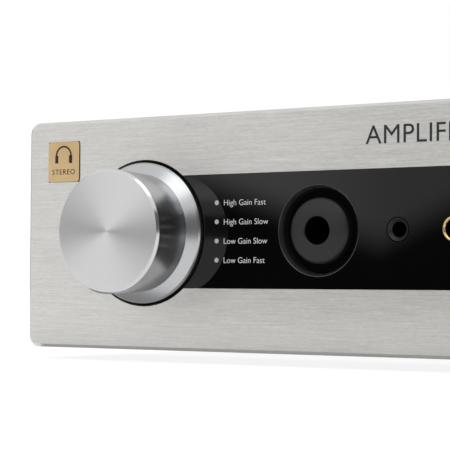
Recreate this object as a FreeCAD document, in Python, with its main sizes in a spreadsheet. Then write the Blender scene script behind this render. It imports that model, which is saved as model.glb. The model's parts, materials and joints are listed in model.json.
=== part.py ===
import FreeCAD, Part
import math
import os

import Sketcher

# Desktop headphone amplifier with a built-in converter.
# Frame: +X to the right seen from the front, +Y to the back, +Z up, in millimetres.
# The origin is on the table, under the middle of the object's own box.

SIZES = {
    # Front plate, in the object's frame.
    "plate_width": 228.0,
    "plate_height": 58.0,
    "plate_depth": 8.0,
    "plate_corner": 3.0,
    "plate_bevel": 0.8,
    "plate_front": -97.05,
    "plate_low": 3.0,
    "hole_gap": 0.1,
    # Case behind it.
    "sheet": 1.5,
    "case_low": 3.5,
    "case_top": 60.5,
    "case_half": 113.0,
    "cover_round": 2.5,
    "rear_face": 103.25,
    "rear_depth": 2.0,
    "flange_height": 9.0,
    "tab_width": 11.0,
    "tab_low": 50.0,
    "vent_length": 46.0,
    "vent_width": 2.4,
    "vent_pitch": 6.0,
    "vent_count": 14.0,
    "vent_left_x": -91.0,
    "vent_right_x": 45.0,
    "vent_y": -30.0,
    "vent_corner": 1.1,
    "rear_corner": 2.0,
    # Knobs and the round wells that they sit in.
    "knob_offset": 77.0,
    "axis_height": 32.0,
    "well_radius": 18.24,
    "well_depth": 6.0,
    "cup_wall": 0.3,
    "cup_floor": 1.0,
    "skirt_radius": 17.45,
    "skirt_front": 1.0,
    "skirt_back": 3.0,
    "liner_gap": 0.02,
    "liner_mouth": 0.4,
    "neck_radius": 14.6,
    "neck_front": 2.7,
    "crown_radius": 15.15,
    "crown_front": 14.4,
    "face_radius": 14.45,
    "knob_reach": 15.2,
    "hollow_radius": 9.0,
    "hollow_front": 1.5,
    "shaft_radius": 3.0,
    "shaft_gap": 0.05,
    "press_gap": 0.02,
    "shaft_reach": 12.5,
    "shaft_back": -72.0,
    "grub_radius": 1.5,
    "grub_reach": 7.0,
    "grub_length": 7.0,
    "grub_key_depth": 2.0,
    "grub_key": 1.5,
    "bush_radius": 4.0,
    "bush_front": 2.5,
    "nut_flats": 11.0,
    "nut_depth": 2.0,
    "control_back": -64.0,
    "pot_side": 24.0,
    "encoder_side": 15.0,
    "plunger_radius": 4.5,
    "plunger_front": -84.0,
    "plunger_back": -74.0,
    # Black window strip.
    "window_low": 18.3,
    "window_top": 46.0,
    "window_pocket": 2.6,
    "window_recess": 0.2,
    "window_fit": 0.05,
    "light_offset": 55.4,
    "light_radius": 0.58,
    "light_low": 25.19,
    "light_pitch": 4.63,
    "light_back": -86.0,
    "light_proud": 0.05,
    # Badge.
    "badge_left": -107.4,
    "badge_low": 45.35,
    "badge_width": 10.15,
    "badge_height": 10.45,
    "badge_pocket": 0.5,
    "badge_depth": 0.8,
    "badge_gap": 0.1,
    "badge_corner": 0.8,
    # Jack row.
    "big_x": -27.2,
    "big_bore": 3.25,
    "big_nut": 7.8,
    "big_rim": 10.9,
    "big_well": 10.1,
    "big_groove": 3.4,
    "big_shelf": 1.6,
    "big_barrel": 5.9,
    "big_side": 18.0,
    "mini_x": -6.4,
    "mini_bore": 1.8,
    "mini_gap": 2.89,
    "mini_nose": 2.62,
    "mini_sink": 0.75,
    "mini_depth": 11.0,
    "mini_side": 8.0,
    "balanced_x": 7.8,
    "balanced_bore": 2.25,
    "balanced_ring": 3.02,
    "balanced_side": 9.0,
    "balanced_crest": 0.35,
    "balanced_depth": 15.0,
    "round_x": 28.0,
    "round_rim": 12.5,
    "round_mouth": 9.65,
    "round_insert": 7.6,
    "round_depth": 15.0,
    "round_pin_circle": 4.7,
    "round_pin_hole": 1.3,
    "round_proud": 0.5,
    "round_floor": 3.0,
    "tab_half": 2.8,
    "tab_length": 8.2,
    "tab_proud": 0.9,
    # Front board.
    "board_depth": 1.6,
    "front_board_half": 98.0,
    "front_board_low": 9.0,
    "front_board_top": 56.0,
    "front_post_x": 94.0,
    "front_post_low": 17.0,
    "front_post_top": 51.0,
    # Rear inlet, drawer, switch and selector.
    "inlet_x": -78.0,
    "inlet_z": 34.0,
    "inlet_half_width": 14.0,
    "inlet_half_height": 17.5,
    "inlet_back": 78.0,
    "inlet_lip": 1.8,
    "inlet_pin_x": 7.0,
    "inlet_pin_z": 2.0,
    "inlet_pin_half_width": 1.0,
    "inlet_pin_half_height": 2.0,
    "socket_half_width": 12.2,
    "socket_half_height": 8.4,
    "socket_lift": 5.4,
    "socket_floor": 88.5,
    "drawer_half_width": 11.0,
    "drawer_half_height": 4.0,
    "drawer_drop": -11.4,
    "drawer_length": 26.0,
    "drawer_grip": 1.2,
    "fuse_radius": 2.6,
    "fuse_glass_radius": 2.35,
    "fuse_length": 20.0,
    "fuse_cap": 5.0,
    "switch_x": -47.0,
    "switch_z": 38.0,
    "switch_half_width": 6.6,
    "switch_half_height": 9.6,
    "switch_depth": 14.0,
    "switch_lip": 1.4,
    "switch_brim": 1.2,
    "rocker_half_width": 5.0,
    "rocker_half_height": 8.0,
    "rocker_tilt": 8.0,
    "rocker_pivot": 1.5,
    "rocker_pin": 1.2,
    "selector_z": 17.5,
    "selector_half_width": 10.0,
    "selector_half_height": 4.5,
    "slider_travel": 5.6,
    "slider_half_width": 3.0,
    "slider_half_height": 2.4,
    # Rear signal sockets.
    "upper_z": 43.0,
    "lower_z": 20.0,
    "usb_x": -21.0,
    "phono_in_x": 6.0,
    "phono_out_x": 29.0,
    "phono_radius": 4.15,
    "phono_reach": 9.0,
    "phono_shank": 4.7,
    "phono_bore": 3.4,
    "phono_back": 12.0,
    "phono_pin_hole": 1.65,
    "left_out_x": 91.0,
    "right_out_x": 58.0,
    "out_z": 32.0,
    "out_half_width": 13.0,
    "out_half_height": 15.5,
    "out_mouth": 9.6,
    "out_depth": 16.0,
    "out_body": 11.7,
    "out_ring": 11.4,
    "out_back": 18.0,
    "out_flange": 2.0,
    "out_proud": 3.2,
    "out_pin_circle": 4.76,
    "out_pin": 1.2,
    "usb_b_half_width": 6.0,
    "usb_b_half_height": 5.45,
    "usb_b_length": 16.0,
    "usb_c_half_width": 4.7,
    "usb_c_half_height": 1.8,
    # Inside.
    "main_board_low": 12.0,
    "main_board_left": -28.0,
    "main_board_right": 106.0,
    "main_board_front": -56.0,
    "main_board_back": 99.0,
    "main_post_left": -22.0,
    "main_post_right": 98.0,
    "main_post_front": -50.0,
    "main_post_back": 70.0,
    "coil_x": -68.0,
    "coil_y": 12.0,
    "coil_radius": 37.0,
    "coil_hole": 12.0,
    "coil_height": 40.0,
    "coil_bolt": 2.5,
    "post_radius": 3.0,
    "can_radius": 8.0,
    "can_height": 30.0,
    "sink_height": 34.0,
    "sink_left": 60.0,
    "sink_wall": 4.0,
    "sink_reach": 22.0,
    "sink_half_length": 36.0,
    "fin_depth": 1.6,
    "fin_count": 12.0,
    # Feet and screws.
    "foot_x": 88.0,
    "foot_front_y": -24.0,
    "foot_back_y": 78.0,
    "foot_radius": 8.0,
    "foot_well": 2.0,
    "foot_round": 0.6,
    "screw_radius": 1.5,
    "screw_head": 2.8,
    "screw_gap": 0.05,
    "screw_key": 2.0,
    "plate_screw_depth": 5.0,
    "front_screw_x": 60.0,
    "rear_screw_x": 12.0,
    "cover_screw_front": -74.0,
    "cover_screw_pitch": 80.0,
    "cover_screw_rise": 12.0,
    "cover_head": 0.9,
    "cover_shank": 4.0,
    "cover_key": 0.6,
}

doc = FreeCAD.newDocument("headphone_amplifier")
sheet = doc.addObject("Spreadsheet::Sheet", "Sizes")
pieces = []


class Dim:
    """A length: its number, and the spreadsheet expression that drives it."""

    def __init__(self, value, text=None):
        self.value = float(value)
        self.text = text if text else "(%.6g)" % value

    def __add__(self, other):
        other = dim(other)
        return Dim(self.value + other.value, "(%s + %s)" % (self.text, other.text))

    def __sub__(self, other):
        other = dim(other)
        return Dim(self.value - other.value, "(%s - %s)" % (self.text, other.text))

    def __mul__(self, other):
        other = dim(other)
        return Dim(self.value * other.value, "(%s * %s)" % (self.text, other.text))

    def __truediv__(self, other):
        other = dim(other)
        return Dim(self.value / other.value, "(%s / %s)" % (self.text, other.text))

    def __neg__(self):
        return Dim(0) - self

    def __radd__(self, other):
        return dim(other) + self

    def __rsub__(self, other):
        return dim(other) - self

    def __rmul__(self, other):
        return dim(other) * self


def dim(value):
    return value if isinstance(value, Dim) else Dim(value)


class Names:
    """The spreadsheet's cells, each as a Dim: D.plate_width and so on."""


def fill_sheet():
    names = Names()
    for row, (alias, value) in enumerate(SIZES.items(), start=1):
        sheet.set("A%d" % row, alias)
        sheet.set("B%d" % row, "%.6g" % value)
        sheet.setAlias("B%d" % row, alias)
        setattr(names, alias, Dim(value, "Sizes." + alias))
    doc.recompute()
    return names


D = fill_sheet()

# Sketch planes: the body's plane and the sign that turns a level on the axis into the plane's offset.
PLANES = {"front": ("XZ_Plane", -1), "top": ("XY_Plane", 1), "side": ("YZ_Plane", 1)}


# ---- Bodies, sketches and features ----------------------------------------------------------


def new_body(name, at=(0, 0, 0)):
    body = doc.addObject("PartDesign::Body", name)
    body.Label = name
    body.AllowCompound = True
    for axis, place in zip("xyz", at):
        body.setExpression("Placement.Base." + axis, dim(place).text)
    pieces.append(body)
    return body


def new_sketch(body, facing, level):
    role, sign = PLANES[facing]
    sketch = body.newObject("Sketcher::SketchObject", body.Label + "_sketch")
    plane = next(part for part in body.Origin.OriginFeatures if part.Role == role)
    sketch.AttachmentSupport = [(plane, "")]
    sketch.MapMode = "FlatFace"
    sketch.setExpression("AttachmentOffset.Base.z", (sign * dim(level)).text)
    return sketch


def fix(sketch, kind, *args):
    """Adds a constraint whose last argument is a Dim, bound to the spreadsheet."""
    size = dim(args[-1])
    index = sketch.addConstraint(Sketcher.Constraint(kind, *args[:-1], size.value))
    sketch.setExpression("Constraints[%d]" % index, size.text)


def poly(*points):
    """A closed outline of straight runs through the given points."""

    def draw(sketch):
        first = sketch.GeometryCount
        spots = [(dim(x), dim(y)) for x, y in points]
        places = [FreeCAD.Vector(x.value, y.value, 0) for x, y in spots]
        for index, place in enumerate(places):
            after = places[(index + 1) % len(places)]
            sketch.addGeometry(Part.LineSegment(place, after), False)
        for index, (x, y) in enumerate(spots):
            after = first + (index + 1) % len(spots)
            sketch.addConstraint(Sketcher.Constraint("Coincident", first + index, 2, after, 1))
            fix(sketch, "DistanceX", first + index, 1, x)
            fix(sketch, "DistanceY", first + index, 1, y)

    return draw


def rect(low_x, low_y, high_x, high_y):
    return poly((low_x, low_y), (high_x, low_y), (high_x, high_y), (low_x, high_y))


def box_at(x, y, half_width, half_height):
    """A rectangle about a centre."""
    return rect(dim(x) - half_width, dim(y) - half_height, dim(x) + half_width, dim(y) + half_height)


def circle(x, y, radius):
    def draw(sketch):
        centre = FreeCAD.Vector(dim(x).value, dim(y).value, 0)
        curve = Part.Circle(centre, FreeCAD.Vector(0, 0, 1), dim(radius).value)
        index = sketch.addGeometry(curve, False)
        fix(sketch, "DistanceX", index, 3, x)
        fix(sketch, "DistanceY", index, 3, y)
        fix(sketch, "Radius", index, radius)

    return draw


def hexagon(x, y, flats):
    corner = dim(flats) / math.sqrt(3)
    half = dim(flats) / 2
    x, y = dim(x), dim(y)
    return poly(
        (x + corner, y),
        (x + corner / 2, y + half),
        (x - corner / 2, y + half),
        (x - corner, y),
        (x - corner / 2, y - half),
        (x + corner / 2, y - half),
    )


def rounded(low_x, low_y, high_x, high_y, radius):
    """A rectangle with round corners, each a tangent arc."""

    def draw(sketch):
        r = dim(radius)
        left, low, right, top = dim(low_x), dim(low_y), dim(high_x), dim(high_y)
        corners = [(left + r, low + r), (right - r, low + r), (right - r, top - r), (left + r, top - r)]
        arcs = []
        for index, (x, y) in enumerate(corners):
            curve = Part.Circle(FreeCAD.Vector(x.value, y.value, 0), FreeCAD.Vector(0, 0, 1), r.value)
            start = math.pi + index * math.pi / 2
            arcs.append(sketch.addGeometry(Part.ArcOfCircle(curve, start, start + math.pi / 2), False))
        for index in range(4):
            one = sketch.getPoint(arcs[index], 2)
            two = sketch.getPoint(arcs[(index + 1) % 4], 1)
            line = sketch.addGeometry(Part.LineSegment(one, two), False)
            sketch.addConstraint(Sketcher.Constraint("Tangent", arcs[index], 2, line, 1))
            sketch.addConstraint(Sketcher.Constraint("Tangent", line, 2, arcs[(index + 1) % 4], 1))
        for arc, (x, y) in zip(arcs, corners):
            fix(sketch, "DistanceX", arc, 3, x)
            fix(sketch, "DistanceY", arc, 3, y)
        fix(sketch, "Radius", arcs[0], r)
        fix(sketch, "Radius", arcs[2], r)

    return draw


def drawn(body, facing, level, shapes):
    sketch = new_sketch(body, facing, level)
    for draw in shapes:
        draw(sketch)
    return sketch


def pad(body, facing, level, depth, *shapes):
    """Material from the level towards +Y (front), +Z (top) or +X (side)."""
    feature = body.newObject("PartDesign::Pad", body.Label + "_pad")
    feature.Profile = drawn(body, facing, level, shapes)
    feature.setExpression("Length", dim(depth).text)
    feature.Reversed = facing == "front"
    body.Tip = feature
    return feature


def cut(body, facing, level, depth, *shapes):
    """A pocket from the level towards +Y (front), +Z (top) or +X (side); it has to take material."""
    doc.recompute()
    before = body.Shape.Volume
    feature = body.newObject("PartDesign::Pocket", body.Label + "_pocket")
    feature.Profile = drawn(body, facing, level, shapes)
    feature.setExpression("Length", dim(depth).text)
    feature.Reversed = facing != "front"
    body.Tip = feature
    doc.recompute()
    if before - body.Shape.Volume < 0.001:
        raise ValueError("nothing cut from " + body.Label)
    return feature


def turn(body, *points, about="y"):
    """A turned solid about the body's own Y or Z axis, through points (radius, place on the axis)."""
    feature = body.newObject("PartDesign::Revolution", body.Label + "_turned")
    sketch = drawn(body, "top" if about == "y" else "front", 0, [poly(*points)])
    feature.Profile = sketch
    feature.ReferenceAxis = (sketch, ["V_Axis"])
    feature.Angle = 360
    body.Tip = feature
    return feature


def tube(body, inner, outer, start, end, about="y"):
    return turn(body, (inner, start), (outer, start), (outer, end), (inner, end), about=about)


def row_of(body, feature, sketch_axis, length, count):
    """Repeats a feature in a straight row; the pattern becomes the body's tip."""
    pattern = body.newObject("PartDesign::LinearPattern", body.Label + "_row")
    pattern.Originals = [feature]
    pattern.Direction = (feature.Profile[0], [sketch_axis])
    pattern.setExpression("Length", dim(length).text)
    pattern.setExpression("Occurrences", dim(count).text)
    body.Tip = pattern
    doc.recompute()
    return pattern


def dress_edges(body, kind, size, test):
    """A Fillet or Chamfer on every edge that passes the test."""
    doc.recompute()
    base = body.Tip
    names = ["Edge%d" % (index + 1) for index, edge in enumerate(base.Shape.Edges) if test(edge)]
    feature = body.newObject("PartDesign::" + kind, body.Label + "_" + kind.lower())
    feature.Base = (base, names)
    feature.setExpression("Radius" if kind == "Fillet" else "Size", dim(size).text)
    body.Tip = feature
    return feature


def at_level(axis, level):
    """A test for edges that lie in one plane across an axis."""
    place = dim(level).value
    return lambda edge: all(abs(getattr(spot.Point, axis) - place) < 0.01 for spot in edge.Vertexes)


def bolts(name, facing, level, spots, shank, head_depth, head_out):
    """Socket-head screws in several places; head_out puts each head on the low side of the level."""
    body = new_body(name)
    head_start = level - head_depth if head_out else level
    shank_start = level if head_out else level - shank
    pad(body, facing, head_start, head_depth, *[circle(x, y, D.screw_head) for x, y in spots])
    pad(body, facing, shank_start, shank, *[circle(x, y, D.screw_radius) for x, y in spots])
    key_depth = head_depth * 0.6
    key_start = head_start if head_out else head_start + head_depth - key_depth
    cut(body, facing, key_start, key_depth, *[hexagon(x, y, D.screw_key) for x, y in spots])
    return body


# ---- Levels worked out from the sizes -------------------------------------------------------

BACK = D.plate_front + D.plate_depth
REAR_INSIDE = D.rear_face - D.rear_depth
WINDOW_FACE = D.plate_front + D.window_recess
WINDOW_BACK = D.plate_front + D.window_pocket
CUP_FACE = D.plate_front + D.well_depth - D.cup_floor
INNER_HALF = D.case_half - D.sheet
HALF_PLATE = D.plate_width / 2
PLATE_TOP = D.plate_low + D.plate_height
SHAFT_HOLE = D.shaft_radius + D.shaft_gap
SCREW_HOLE = D.screw_radius + D.screw_gap
BUSH_HOLE = D.bush_radius + D.hole_gap
TRAY_TOP = D.case_low + D.sheet
BOARD_TOP = D.main_board_low + D.board_depth
LOW_SCREW_Z = D.case_low + 5.5
HIGH_SCREW_Z = D.tab_low + 4.0
CORNER_SCREW_X = INNER_HALF - D.sheet - 6.0
SIDES = (-1, 1)
FRONT_SCREWS = [
    (side * place, height)
    for side in SIDES
    for place, height in ((CORNER_SCREW_X, HIGH_SCREW_Z), (D.front_screw_x, LOW_SCREW_Z))
]
REAR_SCREWS = [
    (side * place, height)
    for side in SIDES
    for place, height in (
        (CORNER_SCREW_X, HIGH_SCREW_Z), (CORNER_SCREW_X, LOW_SCREW_Z), (D.rear_screw_x, LOW_SCREW_Z))
]
COVER_SCREWS = [
    (D.cover_screw_front + index * D.cover_screw_pitch, D.case_low + D.cover_screw_rise) for index in range(3)
]
FRONT_POSTS = [
    (side * D.front_post_x, height) for side in SIDES for height in (D.front_post_low, D.front_post_top)
]
MAIN_POSTS = [
    (x, y) for x in (D.main_post_left, D.main_post_right) for y in (D.main_post_front, D.main_post_back)
]
FEET = [
    ("front_left", -D.foot_x, D.foot_front_y),
    ("front_right", D.foot_x, D.foot_front_y),
    ("back_left", -D.foot_x, D.foot_back_y),
    ("back_right", D.foot_x, D.foot_back_y),
]
FOOT_SPOTS = [(x, y) for name, x, y in FEET]
PHONO_SPOTS = [
    ("phono_in_left", D.phono_in_x, D.upper_z),
    ("phono_in_right", D.phono_in_x, D.lower_z),
    ("phono_out_left", D.phono_out_x, D.upper_z),
    ("phono_out_right", D.phono_out_x, D.lower_z),
]
OUT_SPOTS = [("left_line_socket", D.left_out_x), ("right_line_socket", D.right_out_x)]
LIGHTS = [
    (side * D.light_offset, D.light_low + index * D.light_pitch) for side in SIDES for index in range(4)
]


# ---- Case -----------------------------------------------------------------------------------


def make_front_plate():
    body = new_body("front_plate")
    pad(body, "front", D.plate_front, D.plate_depth,
        rounded(-HALF_PLATE, D.plate_low, HALF_PLATE, PLATE_TOP, D.plate_corner))
    dress_edges(body, "Chamfer", D.plate_bevel, at_level("y", D.plate_front))
    cut(body, "front", D.plate_front, D.window_pocket,
        rect(-D.knob_offset, D.window_low, D.knob_offset, D.window_top))
    cut(body, "front", D.plate_front, D.well_depth,
        circle(-D.knob_offset, D.axis_height, D.well_radius),
        circle(D.knob_offset, D.axis_height, D.well_radius))
    cut(body, "front", D.plate_front, D.badge_pocket,
        rect(D.badge_left, D.badge_low, D.badge_left + D.badge_width, D.badge_low + D.badge_height))
    cut(body, "front", D.plate_front, D.plate_depth,
        circle(-D.knob_offset, D.axis_height, BUSH_HOLE),
        circle(D.knob_offset, D.axis_height, BUSH_HOLE),
        circle(D.big_x, D.axis_height, D.big_rim + D.hole_gap),
        circle(D.mini_x, D.axis_height, D.mini_side / 2 + 0.3),
        circle(D.balanced_x, D.axis_height, D.balanced_side / 2 + 0.3),
        circle(D.round_x, D.axis_height, D.round_rim + D.hole_gap),
        *[box_at(side * D.light_offset, D.axis_height, 2.0, 10.0) for side in SIDES])
    cut(body, "front", BACK - D.plate_screw_depth, D.plate_screw_depth,
        *[circle(x, z, SCREW_HOLE) for x, z in FRONT_SCREWS])
    return body


def make_window_panel():
    body = new_body("window_panel")
    fit = D.window_fit
    pad(body, "front", WINDOW_FACE, WINDOW_BACK - WINDOW_FACE,
        rect(-D.knob_offset, D.window_low + fit, D.knob_offset, D.window_top - fit))
    cut(body, "front", WINDOW_FACE, WINDOW_BACK - WINDOW_FACE,
        circle(-D.knob_offset, D.axis_height, D.well_radius),
        circle(D.knob_offset, D.axis_height, D.well_radius))
    cut(body, "front", WINDOW_FACE, WINDOW_BACK - WINDOW_FACE,
        circle(D.big_x, D.axis_height, D.big_rim),
        circle(D.mini_x, D.axis_height, D.mini_gap),
        circle(D.balanced_x, D.axis_height, D.balanced_ring + fit),
        circle(D.round_x, D.axis_height, D.round_rim + fit),
        *[circle(x, z, D.light_radius + D.press_gap) for x, z in LIGHTS])
    return body


def make_badge():
    body = new_body("badge")
    gap = D.badge_gap
    start = D.plate_front + D.badge_pocket - D.badge_depth
    pad(body, "front", start, D.badge_depth,
        rounded(D.badge_left + gap, D.badge_low + gap, D.badge_left + D.badge_width - gap,
                D.badge_low + D.badge_height - gap, D.badge_corner))
    return body


def make_bottom_chassis():
    """A folded tray: floor, side walls, low flanges at both ends and tabs in the upper corners."""
    body = new_body("bottom_chassis")
    top = D.case_top - D.sheet
    pad(body, "top", D.case_low, D.sheet, rect(-INNER_HALF, BACK, INNER_HALF, REAR_INSIDE))
    for side in SIDES:
        inner, outer = side * (INNER_HALF - D.sheet), side * INNER_HALF
        pad(body, "front", BACK, REAR_INSIDE - BACK, rect(inner, D.case_low, outer, top))
        tab = side * (INNER_HALF - D.sheet - D.tab_width)
        for start in (BACK, REAR_INSIDE - D.sheet):
            pad(body, "front", start, D.sheet, rect(tab, D.tab_low, outer, top))
    for start in (BACK, REAR_INSIDE - D.sheet):
        pad(body, "front", start, D.sheet,
            rect(-INNER_HALF, D.case_low, INNER_HALF, D.case_low + D.flange_height))
    cut(body, "front", BACK, D.sheet, *[circle(x, z, SCREW_HOLE) for x, z in FRONT_SCREWS])
    cut(body, "front", REAR_INSIDE - D.sheet, D.sheet, *[circle(x, z, SCREW_HOLE) for x, z in REAR_SCREWS])
    cut(body, "top", D.case_low, D.sheet,
        *[circle(x, y, SCREW_HOLE) for x, y in FOOT_SPOTS],
        *[circle(x, y, SCREW_HOLE) for x, y in MAIN_POSTS],
        circle(D.coil_x, D.coil_y, D.coil_bolt + D.hole_gap))
    for start in (-INNER_HALF, INNER_HALF - D.sheet):
        cut(body, "side", start, D.sheet, *[circle(y, z, SCREW_HOLE) for y, z in COVER_SCREWS])
    return body


def make_top_cover():
    """An inverted channel with vent slots over the transformer and the output stage."""
    body = new_body("top_cover")
    inner_top = D.case_top - D.sheet
    pad(body, "front", BACK, REAR_INSIDE - BACK,
        poly((-D.case_half, D.case_low), (-INNER_HALF, D.case_low), (-INNER_HALF, inner_top),
             (INNER_HALF, inner_top), (INNER_HALF, D.case_low), (D.case_half, D.case_low),
             (D.case_half, D.case_top), (-D.case_half, D.case_top)))
    half = D.case_half.value
    dress_edges(body, "Fillet", D.cover_round,
                lambda edge: at_level("z", D.case_top)(edge) and abs(abs(edge.CenterOfMass.x) - half) < 0.01)
    for x in (D.vent_left_x, D.vent_right_x):
        slot = cut(body, "top", inner_top, D.sheet,
                   rounded(x, D.vent_y, x + D.vent_length, D.vent_y + D.vent_width, D.vent_corner))
        row_of(body, slot, "V_Axis", D.vent_pitch * (D.vent_count - 1.0), D.vent_count)
    for start in (-D.case_half, INNER_HALF):
        cut(body, "side", start, D.sheet, *[circle(y, z, SCREW_HOLE) for y, z in COVER_SCREWS])
    return body


def make_cover_screws():
    """Button-head screws through the cover's sides into the tray."""
    body = new_body("cover_screws")
    for side in SIDES:
        left = side < 0
        head_start = -D.case_half - D.cover_head if left else D.case_half
        shank_start = -D.case_half if left else D.case_half - D.cover_shank
        key_start = head_start if left else D.case_half + D.cover_head - D.cover_key
        pad(body, "side", head_start, D.cover_head,
            *[circle(y, z, D.screw_head) for y, z in COVER_SCREWS])
        pad(body, "side", shank_start, D.cover_shank,
            *[circle(y, z, D.screw_radius) for y, z in COVER_SCREWS])
        cut(body, "side", key_start, D.cover_key,
            *[hexagon(y, z, D.screw_key) for y, z in COVER_SCREWS])
    return body


def make_rear_panel():
    body = new_body("rear_panel")
    pad(body, "front", REAR_INSIDE, D.rear_depth,
        rounded(-D.case_half, D.case_low, D.case_half, D.case_top, D.rear_corner))
    gap = D.hole_gap
    selector_rim = 1.5
    selector_ledge = 0.8
    cut(body, "front", REAR_INSIDE, D.rear_depth,
        box_at(D.inlet_x, D.inlet_z, D.inlet_half_width + gap, D.inlet_half_height + gap),
        box_at(D.switch_x, D.switch_z, D.switch_half_width + gap, D.switch_half_height + gap),
        box_at(D.switch_x, D.selector_z, D.selector_half_width - selector_rim,
               D.selector_half_height - selector_ledge),
        box_at(D.usb_x, D.upper_z, D.usb_c_half_width + gap, D.usb_c_half_height + gap),
        box_at(D.usb_x, D.lower_z, D.usb_b_half_width + gap, D.usb_b_half_height + gap),
        *[circle(x, z, D.phono_shank + gap * 2) for name, x, z in PHONO_SPOTS],
        *[circle(x, D.out_z, D.out_body + gap * 2) for name, x in OUT_SPOTS],
        *[circle(x, z, SCREW_HOLE) for x, z in REAR_SCREWS])
    return body


def make_case_screws():
    """Screws from inside into the front plate, and from behind through the rear panel."""
    bolts("front_plate_screws", "front", BACK + D.sheet, FRONT_SCREWS, dim(6.0), dim(2.0), False)
    bolts("rear_panel_screws", "front", D.rear_face, REAR_SCREWS, dim(6.0), dim(1.6), False)


def make_feet():
    """Rubber feet with a well for the screw head, open below."""
    for name, x, y in FEET:
        body = new_body("foot_" + name, (x, y, 0))
        tube(body, SCREW_HOLE, D.foot_radius, 0, D.case_low, about="z")
        cut(body, "top", 0, D.foot_well, circle(0, 0, D.screw_head + 0.4))
        on_floor = at_level("z", 0)
        radius = D.foot_radius.value
        dress_edges(body, "Fillet", D.foot_round,
                    lambda edge: on_floor(edge) and abs(edge.Curve.Radius - radius) < 0.01)
    bolts("foot_screws", "top", D.foot_well, FOOT_SPOTS, dim(6.0), dim(1.2), True)


# ---- Knobs and controls ---------------------------------------------------------------------


def make_knob(name, side):
    """A turned knob: skirt in the well, raked neck, body that widens a little, and a crisp edge."""
    body = new_body(name, (side * D.knob_offset, D.plate_front, D.axis_height))
    bore = D.shaft_radius + D.press_gap
    turn(body,
         (0, -D.knob_reach), (D.face_radius, -D.knob_reach), (D.crown_radius, -D.crown_front),
         (D.neck_radius, -D.neck_front), (D.skirt_radius, -D.skirt_front), (D.skirt_radius, D.skirt_back),
         (D.hollow_radius, D.skirt_back), (D.hollow_radius, -D.hollow_front), (bore, -D.hollow_front),
         (bore, -D.shaft_reach), (0, -D.shaft_reach))
    cut(body, "side", -D.crown_radius - 1.0, D.crown_radius + 1.0,
        circle(-D.grub_reach, 0, D.grub_radius + D.screw_gap))
    return body


def make_grub_screw(name, side):
    body = new_body(name, (side * D.knob_offset, D.plate_front, D.axis_height))
    start = -D.shaft_radius - D.press_gap - D.grub_length
    pad(body, "side", start, D.grub_length, circle(-D.grub_reach, 0, D.grub_radius))
    cut(body, "side", start, D.grub_key_depth, hexagon(-D.grub_reach, 0, D.grub_key))
    return body


def make_shaft(name, side):
    body = new_body(name, (side * D.knob_offset, 0, D.axis_height))
    tube(body, 0, D.shaft_radius, D.plate_front - D.shaft_reach, D.shaft_back)
    return body


def make_control(name, side, width, inner_radius):
    """A panel control: threaded bush through the plate and a housing up to the front board."""
    body = new_body(name, (side * D.knob_offset, 0, D.axis_height))
    half = width / 2
    pad(body, "front", BACK, D.control_back - BACK, rect(-half, -half, half, half))
    pad(body, "front", D.plate_front + D.bush_front, BACK - D.plate_front - D.bush_front,
        circle(0, 0, D.bush_radius))
    play = 2.0
    room_start = D.plunger_front - play
    cut(body, "front", D.plate_front, room_start - D.plate_front, circle(0, 0, SHAFT_HOLE))
    cut(body, "front", room_start, D.shaft_back + play - room_start, circle(0, 0, inner_radius))
    return body


def make_controls():
    make_control("volume_potentiometer", -1, D.pot_side, SHAFT_HOLE)
    make_control("selector_encoder", 1, D.encoder_side, D.plunger_radius + D.shaft_gap)
    for name, side in (("volume", -1), ("selector", 1)):
        make_knob(name + "_knob", side)
        make_grub_screw(name + "_grub_screw", side)
        make_shaft(name + "_shaft", side)
    sleeve = new_body("encoder_plunger", (D.knob_offset, 0, D.axis_height))
    tube(sleeve, SHAFT_HOLE, D.plunger_radius, D.plunger_front, D.plunger_back)


def make_control_nuts():
    body = new_body("control_nuts", (0, 0, D.axis_height))
    spots = (-D.knob_offset, D.knob_offset)
    pad(body, "front", CUP_FACE - D.nut_depth, D.nut_depth, *[hexagon(x, 0, D.nut_flats) for x in spots])
    cut(body, "front", CUP_FACE - D.nut_depth, D.nut_depth,
        *[circle(x, 0, D.bush_radius + D.press_gap) for x in spots])
    return body


def make_well_cups():
    """Black liners of the two round wells."""
    body = new_body("knob_well_liners", (0, 0, D.axis_height))
    spots = (-D.knob_offset, D.knob_offset)
    mouth = D.plate_front + D.liner_mouth
    depth = D.well_depth - D.liner_mouth
    pad(body, "front", mouth, depth, *[circle(x, 0, D.well_radius - D.liner_gap) for x in spots])
    cut(body, "front", mouth, depth - D.cup_floor,
        *[circle(x, 0, D.well_radius - D.cup_wall) for x in spots])
    cut(body, "front", mouth, depth, *[circle(x, 0, BUSH_HOLE) for x in spots])
    return body


# ---- Sockets and lights on the front --------------------------------------------------------


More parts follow.
